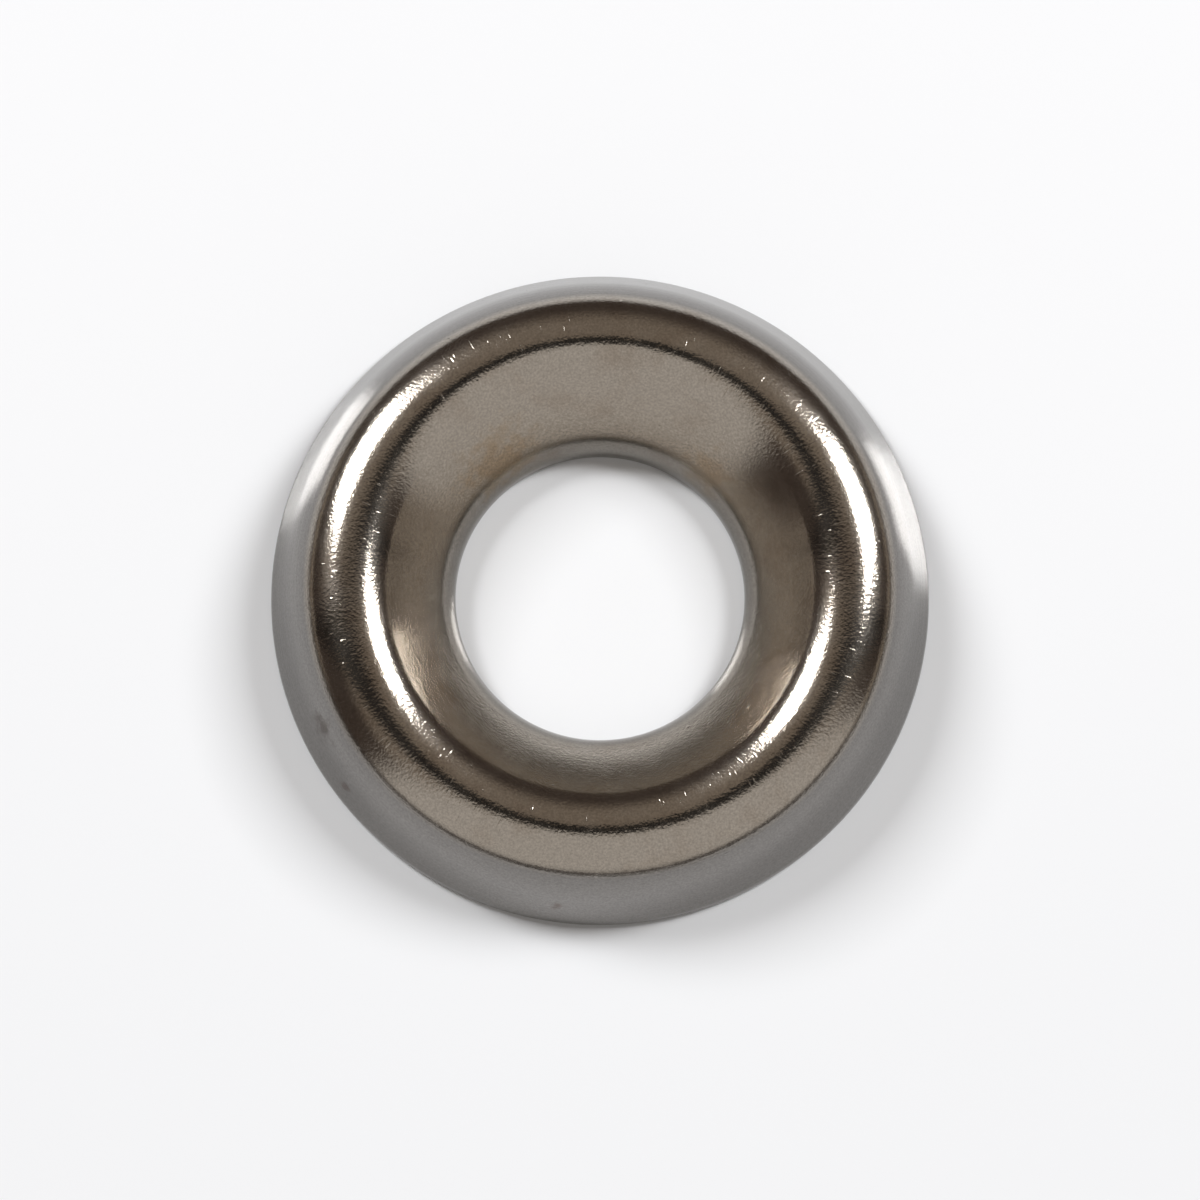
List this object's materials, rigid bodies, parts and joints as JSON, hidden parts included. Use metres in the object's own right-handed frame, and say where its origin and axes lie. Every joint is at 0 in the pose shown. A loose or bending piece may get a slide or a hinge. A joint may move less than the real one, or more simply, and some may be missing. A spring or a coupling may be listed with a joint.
{
  "type": "finishing cup washer",
  "caption": "Pressed sheet-metal cup washer, bright plated: a conical cup seats a countersunk screw head, with a round crest and a steep skirt that rests on the surface.",
  "frame": {"origin": "centre of the screw hole, on the base plane that the skirt rests on", "axes": "+Z along the screw's axis, from the base plane towards the screw head; X and Y are alike"},
  "size_m": [0.0142, 0.0142, 0.0024],
  "materials": {
    "nickel_plate": "bright nickel plate over pressed steel, lightly scuffed"
  },
  "bodies": {
    "root": {"cup_washer": "nickel_plate"}
  },
  "joints": []
}
